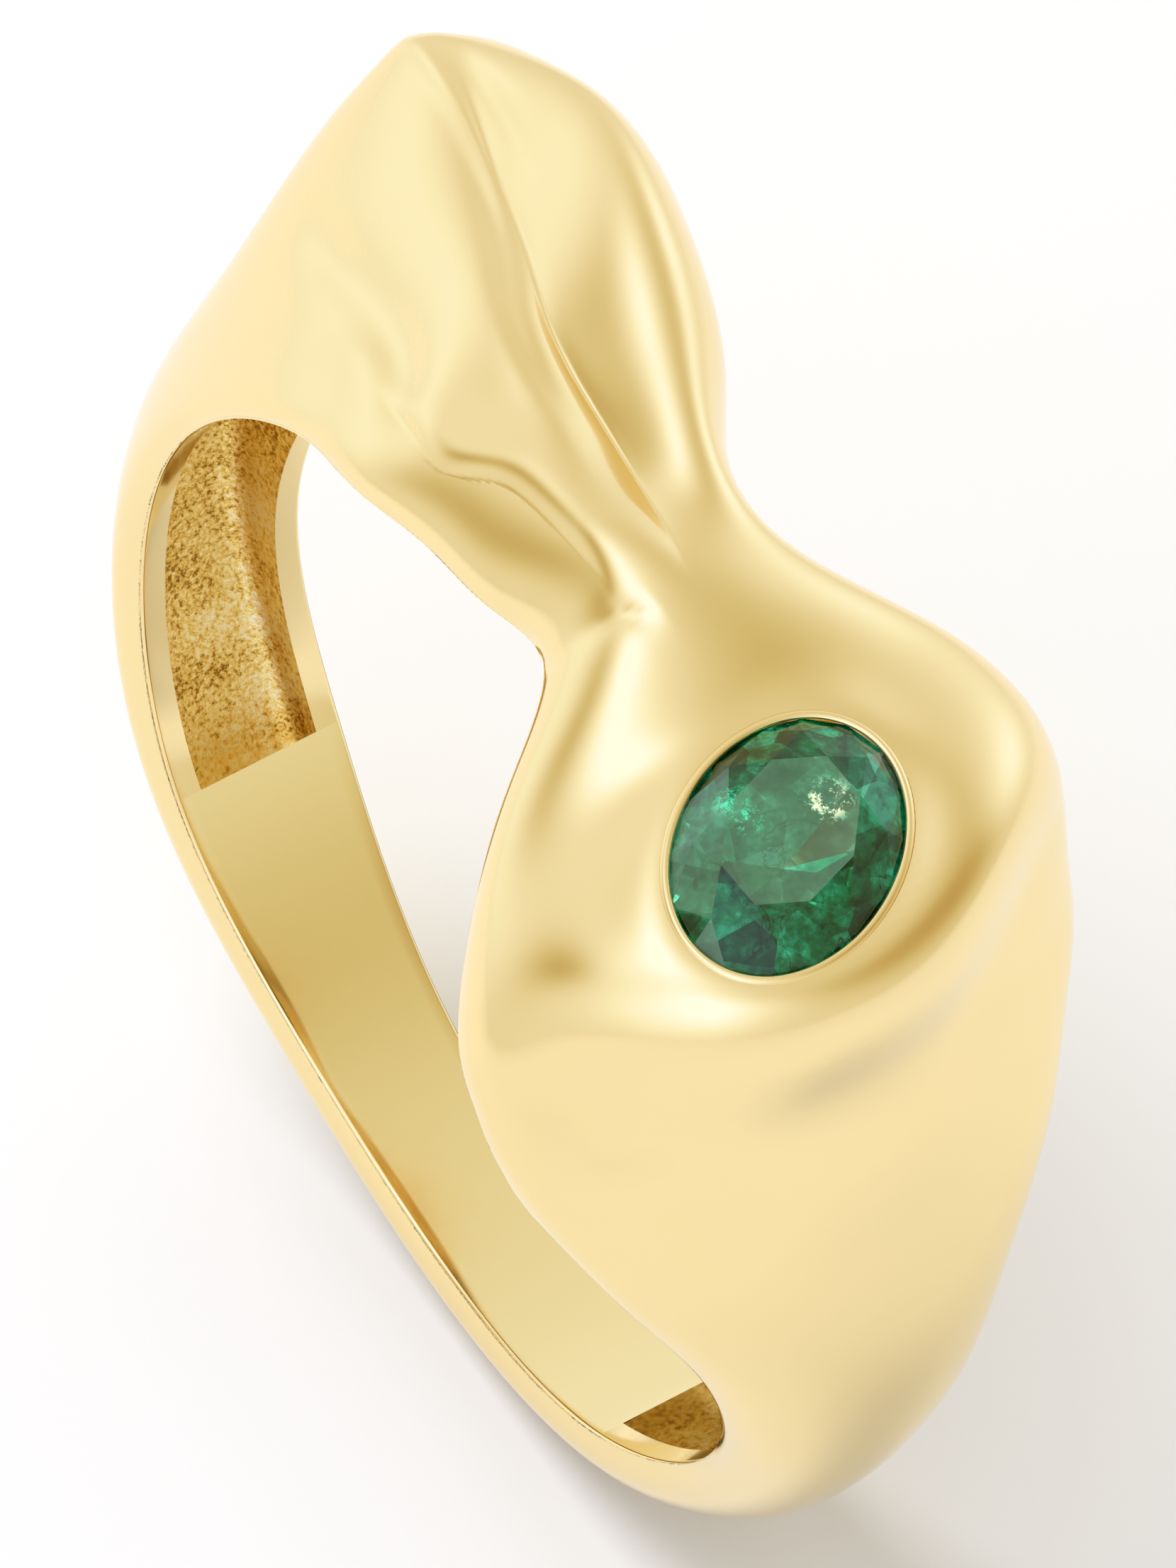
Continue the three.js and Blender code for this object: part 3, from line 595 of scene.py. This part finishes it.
def stone_greens(nt, local, cloud):
    """Cells and clouds of green with dark hairlines."""
    cells = node(nt, "ShaderNodeTexVoronoi", {"Vector": local, "Scale": 1.5})
    patch = node(nt, "ShaderNodeSeparateColor", {0: cells.outputs["Color"]}).outputs
    dust = noise(nt, local, scale=7.0, detail=4.0, rough=0.6)
    depth = maths(nt, "MULTIPLY_ADD", patch[0], CELL_SHARE, maths(nt, "MULTIPLY", cloud, CLOUD_SHARE))
    depth = maths(nt, "MULTIPLY_ADD", dust, DUST_SHARE, depth)
    vein = noise(nt, local, scale=1.1, detail=3.0, rough=0.55, distortion=0.6)
    off_line = maths(nt, "ABSOLUTE", maths(nt, "SUBTRACT", vein, 0.5))
    strength = maths(nt, "MULTIPLY_ADD", patch[1], HAIR_BY_CELL, HAIR_LEAST)
    line = maths(nt, "MULTIPLY", fall(nt, off_line, HAIR_FULL, HAIR_GONE), strength)
    return mix_colour(nt, line, ramp(nt, depth, GREENS), HAIRLINE)


def painted_reflection_facets(nt, shade, cloud):
    """The table and a few crown facets are painted paler than the rest, as a painted reflection."""
    facing = nt.nodes.new("ShaderNodeNewGeometry").outputs["True Normal"]
    for turn, tilt, reach, share, reflection_colour in PAINTED_REFLECTION_FACETS:
        turn, tilt = turn * DEGREE, tilt * DEGREE
        out = math.cos(turn) / STONE_A * LONG + math.sin(turn) / STONE_B * WIDE
        out = out / np.linalg.norm(out)
        normal = Vector(math.cos(tilt) * STONE_UP + math.sin(tilt) * out)
        alike = vector_maths(nt, "DOT_PRODUCT", "Value", facing, normal)
        hit = maths(nt, "GREATER_THAN", alike, math.cos(reach * DEGREE))
        amount = maths(nt, "MULTIPLY_ADD", cloud, share, PAINTED_REFLECTION_LEAST * share)
        # Facets that face this way take the paler colour of the painted reflection.
        shade = mix_colour(nt, maths(nt, "MULTIPLY", hit, amount), shade, (*reflection_colour, 1))
    return shade


def near_spot(nt, local, spot, low, high):
    return fall(nt, vector_maths(nt, "DISTANCE", "Value", local, spot), low, high)


def painted_stone_lights(nt, local):
    """Colour and strength of the painted glint of glitter and the painted cyan flashes, both given as
    glow.
    """
    spark = noise(nt, local, scale=11.0, detail=5.0, rough=0.85, distortion=0.5)
    sparse = noise(nt, local, scale=3.2, detail=2.0)
    both = maths(nt, "MULTIPLY_ADD", sparse, SPARSE_SHARE, spark)
    lit = maths(nt, "SUBTRACT", 1.0, fall(nt, both, UNLIT, LIT))
    painted_glint = maths(nt, "MULTIPLY", near_spot(nt, local, *PAINTED_GLINT_SPOT), lit)
    painted_flash = maths(nt, "MAXIMUM", *(near_spot(nt, local, *spot) for spot in PAINTED_FLASH_SPOTS))
    painted_flash = maths(nt, "MULTIPLY", painted_flash, lit)
    strength = maths(nt, "MULTIPLY", maths(nt, "MAXIMUM", painted_glint, painted_flash), PAINTED_GLOW_STRENGTH)
    return mix_colour(nt, painted_glint, PAINTED_FLASH_COLOUR, PAINTED_GLINT_COLOUR), strength


def gem_material():
    """Deep green stone with paler zones and hairlines, a few facets painted paler as a painted
    reflection, and a painted glowing glint and painted cyan flashes.
    """
    m, nt, bsdf = node_material("emerald_green")
    local = stone_coords(nt)
    cloud = noise(nt, local, scale=1.3, detail=6.0, rough=0.62)
    shade = painted_reflection_facets(nt, stone_greens(nt, local, cloud), cloud)
    # The painted glint and painted flashes glow through emission.
    light, strength = painted_stone_lights(nt, local)
    finish = {"Base Color": shade, "Transmission Weight": 0.72, "IOR": 1.58,
              "Specular IOR Level": 0.2, "Specular Tint": (1.0, 1.0, 0.8, 1), "Roughness": 0.0,
              "Emission Color": light, "Emission Strength": strength}
    for name, value in finish.items():
        feed(nt, bsdf.inputs[name], value)
    return m


GOLD = gold_material("gold_polished", ((0.955, 0.775, 0.405), (0.94, 0.76, 0.39)), (0.07, 0.11))
# The shank's inside is a paler copy of the polished gold: its lighter colour is painted light,
# standing for a brighter reflection.
GOLD_BAND_PAINTED_BRIGHTER = gold_material("gold_band_painted_brighter", ((1.0, 0.855, 0.48), (0.99, 0.835, 0.455)), (0.10, 0.16))
CAST = cast_material()
GEM = gem_material()


# ---------------------------------------------------------------- head
def cavity(yr):
    """The hollow under one section of skin: from the far rim back to the near rim."""
    y, r = yr[:, 0], yr[:, 1]
    near, far = y[0] + SIDE_WALL, y[-1] - SIDE_WALL
    v = np.linspace(1, 0, CAVITY_POINTS)
    bunched = 0.5 - 0.5 * np.cos(np.pi * v)
    yy = near + (far - near) * (CAVITY_EVEN * v + (1 - CAVITY_EVEN) * bunched)
    order = np.argsort(y[2:-2])
    height = np.interp(yy, y[2:-2][order], r[2:-2][order]) - TOP_WALL - FINGER_R
    w = np.clip((yy - near) / (far - near) * 2 - 1, -1, 1)
    edge = np.clip(1 - np.abs(w) ** CAVITY_SQUARE, 0, 1) ** CAVITY_CORNER
    return np.stack([yy, FINGER_R + np.maximum(height, CAVITY_LEAST) * edge], -1)


def head_object():
    psi = np.append(np.arange(HEAD_FROM, HEAD_TO - HEAD_STEP, HEAD_STEP), HEAD_TO)
    yr = skin(psi, np.linspace(0, 1, ACROSS + 1))
    inside = np.stack([cavity(section) for section in yr])
    r = inside[..., 1]
    for _ in range(CAVITY_PASSES):
        r[1:-1] = (r[:-2] + 2 * r[1:-1] + r[2:]) / 4
    outer = settle(to_xyz(psi, yr))
    return ring_piece("head_body", psi, yr, outer, inside, [GOLD, CAST], to_rims=0, end_slot=1)


def cut_seat(head):
    """Cuts the collet's oval opening through the skin."""
    n = SEAT_STEPS
    angle = np.linspace(0, 2 * np.pi, n, endpoint=False)
    points = [oval(angle, COLLET_WALL - SEAT_BITE, up) for up in (-SEAT_DOWN, SEAT_UP)]
    faces = [(i, (i + 1) % n, n + (i + 1) % n, n + i) for i in range(n)]
    faces += [tuple(reversed(range(n))), tuple(range(n, 2 * n))]
    cutter = add_mesh("cutter", np.concatenate(points), faces, [GOLD])
    cut = head.modifiers.new("seat", "BOOLEAN")
    cut.object = cutter
    cut.operation = "DIFFERENCE"
    cut.solver = "EXACT"
    bpy.context.view_layer.update()
    evaluated = head.evaluated_get(bpy.context.evaluated_depsgraph_get())
    done = bpy.data.meshes.new_from_object(evaluated)
    head.modifiers.clear()
    uncut = head.data
    head.data = done
    bpy.data.meshes.remove(uncut)
    bpy.data.objects.remove(cutter)


# ---------------------------------------------------------------- shank
def shank_object():
    psi = np.linspace(HEAD_TO, HEAD_FROM + 360, SHANK_SECTIONS)
    yr = skin(psi, np.linspace(0, 1, ACROSS + 1))
    near, far = yr[:, :1], yr[:, -1:]
    inset = (far - near) / np.linalg.norm(far - near, axis=-1, keepdims=True) * EDGE
    t = np.linspace(0, 1, BORE_POINTS + 2)[1:-1, None]
    inside = (far - inset) * (1 - t) + (near + inset) * t
    outer = to_xyz(psi, yr)
    # The inside of the shank takes the paler gold, painted light.
    return ring_piece("shank_band", psi, yr, outer, inside, [GOLD, GOLD_BAND_PAINTED_BRIGHTER], to_rims=1, end_slot=0)


# ---------------------------------------------------------------- normals of the true skin
def true_normals(obj, psi_from, psi_to):
    """Shades the polished faces by the exact skin, so that no facet shows in a reflection."""
    psi = np.arange(psi_from - NORMAL_MARGIN, psi_to + NORMAL_MARGIN, HEAD_STEP)
    p = settle(to_xyz(psi, skin(psi, np.linspace(0, 1, ACROSS + 1))))
    normals = np.cross(np.gradient(p, axis=0), np.gradient(p, axis=1))
    normals /= np.linalg.norm(normals, axis=-1, keepdims=True)
    points, normals = p.reshape(-1, 3), normals.reshape(-1, 3)
    tree = KDTree(len(points))
    for i, q in enumerate(points):
        tree.insert(q, i)
    tree.balance()
    mesh = obj.data
    smooth(mesh, SKIN_SHARP)
    exact = {}
    for v in mesh.vertices:
        _, found, distance = zip(*tree.find_n(v.co / MM, NORMAL_POINTS))
        if distance[0] < NORMAL_REACH:
            weights = 1 / (np.array(distance) + 1e-5)
            mean = (weights[:, None] * normals[list(found)]).sum(0)
            exact[v.index] = Vector(mean).normalized()
    corner = [Vector(c.vector) for c in mesh.corner_normals]
    for face in mesh.polygons:
        if face.material_index != 0:
            continue
        for loop, v in zip(face.loop_indices, face.vertices):
            if v in exact and face.normal.dot(exact[v]) > NORMAL_AGREES:
                corner[loop] = exact[v]
    mesh.normals_split_custom_set(corner)


# ---------------------------------------------------------------- collet and stone
def collet_object():
    angle = np.linspace(0, 2 * np.pi, COLLET_STEPS, endpoint=False)[:, None]
    offset, up = np.array(COLLET_PROFILE).T
    rows = oval(angle, offset, up)
    faces = tube_faces(COLLET_STEPS, len(COLLET_PROFILE), wrap=True)
    collet = add_mesh("stone_rim", rows.reshape(-1, 3), faces, [GOLD])
    smooth(collet.data, COLLET_SHARP)
    return collet


def emerald_object():
    """An oval brilliant: the hull of the corners of its table, crown, girdle and pavilion."""
    step = 360 / GEM_SIDES
    half = math.cos(step / 2 * DEGREE)
    top, bottom = GIRDLE / 2, -GIRDLE / 2
    crown_mid = top + CROWN * (1 - CROWN_MID * half) / (1 - TABLE)
    pavilion_mid = bottom - PAVILION * (1 - PAVILION_MID * half)
    corners = []
    for i in range(GEM_SIDES):
        corners += [(TABLE, step * i, top + CROWN), (CROWN_MID, step * (i + 0.5), crown_mid),
                    (PAVILION_MID, step * (i + 0.5), pavilion_mid)]
    for i in range(2 * GEM_SIDES):
        corners += [(1, step / 2 * i, top), (1, step / 2 * i, bottom)]
    corners.append((0, 0, bottom - PAVILION))
    bm = bmesh.new()
    for radius, angle, up in corners:
        a = angle * DEGREE
        place = at_stone(STONE_A * radius * math.cos(a), STONE_B * radius * math.sin(a), up)
        bm.verts.new(Vector(place) * MM)
    bmesh.ops.convex_hull(bm, input=bm.verts)
    flat = FLAT_ANGLE * DEGREE
    bmesh.ops.dissolve_limit(bm, angle_limit=flat, verts=bm.verts, edges=bm.edges)
    mesh = bpy.data.meshes.new("emerald_stone")
    bm.to_mesh(mesh)
    bm.free()
    return add_object("emerald_stone", mesh, [GEM])


head = head_object()
cut_seat(head)
shank = shank_object()
true_normals(head, HEAD_FROM, HEAD_TO)
true_normals(shank, HEAD_TO, HEAD_FROM + 360)
collet = collet_object()
stone = emerald_object()

# ---------------------------------------------------------------- riding
for piece, cad_node, slot in ((head, "head_shell", "gold"), (shank, "shank", "gold"),
                              (collet, "stone_collet", "gold"), (stone, "emerald", "gem")):
    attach(piece, "root")
    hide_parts(cad_node)

# ---------------------------------------------------------------- floor
FLOOR_R = 0.25                 # metres
FLOOR_CORNERS = 90
FLOOR_FADE = (0.03, 0.15)      # metres from the ring: the sheet fades out before its edge
PAPER_TONES = [(0.3, (0.775, 0.765, 0.75)), (0.7, (0.795, 0.785, 0.77))]


def floor_object(height):
    m, nt, bsdf = node_material("floor_paper")
    coords = object_coords(nt)
    paper = noise(nt, coords, scale=40.0, detail=2.0)
    feed(nt, bsdf.inputs["Base Color"], ramp(nt, paper, PAPER_TONES))
    feed(nt, bsdf.inputs["Roughness"], 0.6)
    feed(nt, bsdf.inputs["Specular IOR Level"], 0.0)
    reach = vector_maths(nt, "LENGTH", "Value", coords)
    feed(nt, bsdf.inputs["Alpha"], fall(nt, reach, *FLOOR_FADE))
    angles = [2 * math.pi * k / FLOOR_CORNERS for k in range(FLOOR_CORNERS)]
    corners = [(FLOOR_R * math.cos(a), FLOOR_R * math.sin(a), height) for a in angles]
    mesh = bpy.data.meshes.new("floor")
    mesh.from_pydata(corners, [], [tuple(range(FLOOR_CORNERS))])
    return add_object("floor", mesh, [m])


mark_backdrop(floor_object(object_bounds()[0].z))

# ---------------------------------------------------------------- light
# Soft lights (positive) and dark flags (negative) of the tent: azimuth from -Y toward +X,
# height, tightness and strength over the tent's even light.
TENT = 0.83
PANELS = [
    (40, 38, 6.0, 0.48),
    (45, 8, 15.0, 0.15),
    (-45, 66, 12.0, 0.50),
    (-40, 34, 22.0, -0.42),
    (-76, 6, 10.0, 0.28),
    (142, 33, 6.0, -0.45),
    (-170, 17, 12.0, 0.45),
    (-150, 52, 10.0, -0.12),
]
# The tent's colour by how strong its light is.
GLOW = [(0.0, (0.30, 0.16, 0.04)), (0.475, (0.60, 0.48, 0.25)), (0.63, (0.71, 0.64, 0.43)),
        (0.784, (0.82, 0.785, 0.67)), (0.883, (0.89, 0.88, 0.83)), (0.98, (0.96, 0.975, 0.99)),
        (1.08, (1.02, 1.08, 1.15)), (1.19, (1.08, 1.19, 1.5)), (1.3, (1.18, 1.3, 1.9))]


def toward(azimuth, height):
    az, h = azimuth * DEGREE, height * DEGREE
    return Vector((math.sin(az) * math.cos(h), -math.cos(az) * math.cos(h), math.sin(h)))


def tent():
    world = bpy.data.worlds.new("studio")
    bpy.context.scene.world = world
    world.use_nodes = True
    nt = world.node_tree
    nt.nodes.clear()
    direction = nt.nodes.new("ShaderNodeTexCoord").outputs["Generated"]
    total = TENT
    for azimuth, height, tight, strength in PANELS:
        middle = toward(azimuth, height)
        dot = vector_maths(nt, "DOT_PRODUCT", "Value", direction, middle)
        lobe = maths(nt, "EXPONENT", maths(nt, "MULTIPLY_ADD", dot, tight, -tight))
        total = maths(nt, "MULTIPLY_ADD", lobe, strength, total)
    most = GLOW[-1][0]
    stops = [(light / most, colour) for light, colour in GLOW]
    colour = ramp(nt, maths(nt, "DIVIDE", total, most), stops)
    background = node(nt, "ShaderNodeBackground", {"Color": colour, "Strength": 1.0})
    node(nt, "ShaderNodeOutputWorld", {"Surface": background.outputs[0]})


def softbox(name, azimuth, height, distance, size, power):
    d = toward(azimuth, height)
    light = bpy.data.lights.new(name, "AREA")
    light.shape = "DISK"
    light.size = size
    light.energy = power
    obj = bpy.data.objects.new(name, light)
    obj.location = d * distance
    obj.rotation_mode = "QUATERNION"
    obj.rotation_quaternion = d.to_track_quat("Z", "Y")
    obj.visible_glossy = False
    bpy.context.scene.collection.objects.link(obj)


tent()
softbox("key", azimuth=-65, height=62, distance=0.4, size=0.26, power=0.82)

# ---------------------------------------------------------------- camera
AZIMUTH, ELEVATION = 57.0, 51.3
DISTANCE = 0.6                 # metres
VIEW_HEIGHT = 23.3087          # mm of the ring that the picture's height takes in
VIEW_RIGHT, VIEW_UP = 0.9431, 1.8124   # mm from the finger hole's centre to the picture's
SENSOR = 36.0                  # mm, along the picture's height


def add_camera():
    back = toward(AZIMUTH, ELEVATION)
    right = toward(AZIMUTH + 90, 0)
    aim = (right * VIEW_RIGHT + back.cross(right) * VIEW_UP) * MM
    lens = bpy.data.cameras.new("camera")
    lens.sensor_width = SENSOR
    lens.lens = SENSOR * DISTANCE / (VIEW_HEIGHT * MM)
    lens.clip_start = 0.01
    lens.clip_end = 20
    camera = bpy.data.objects.new("camera", lens)
    bpy.context.scene.collection.objects.link(camera)
    camera.location = aim + back * DISTANCE
    camera.rotation_mode = "QUATERNION"
    camera.rotation_quaternion = (-back).to_track_quat("-Z", "Y")
    return camera


bpy.context.scene.camera = add_camera()
bpy.context.scene.view_settings.view_transform = "Standard"
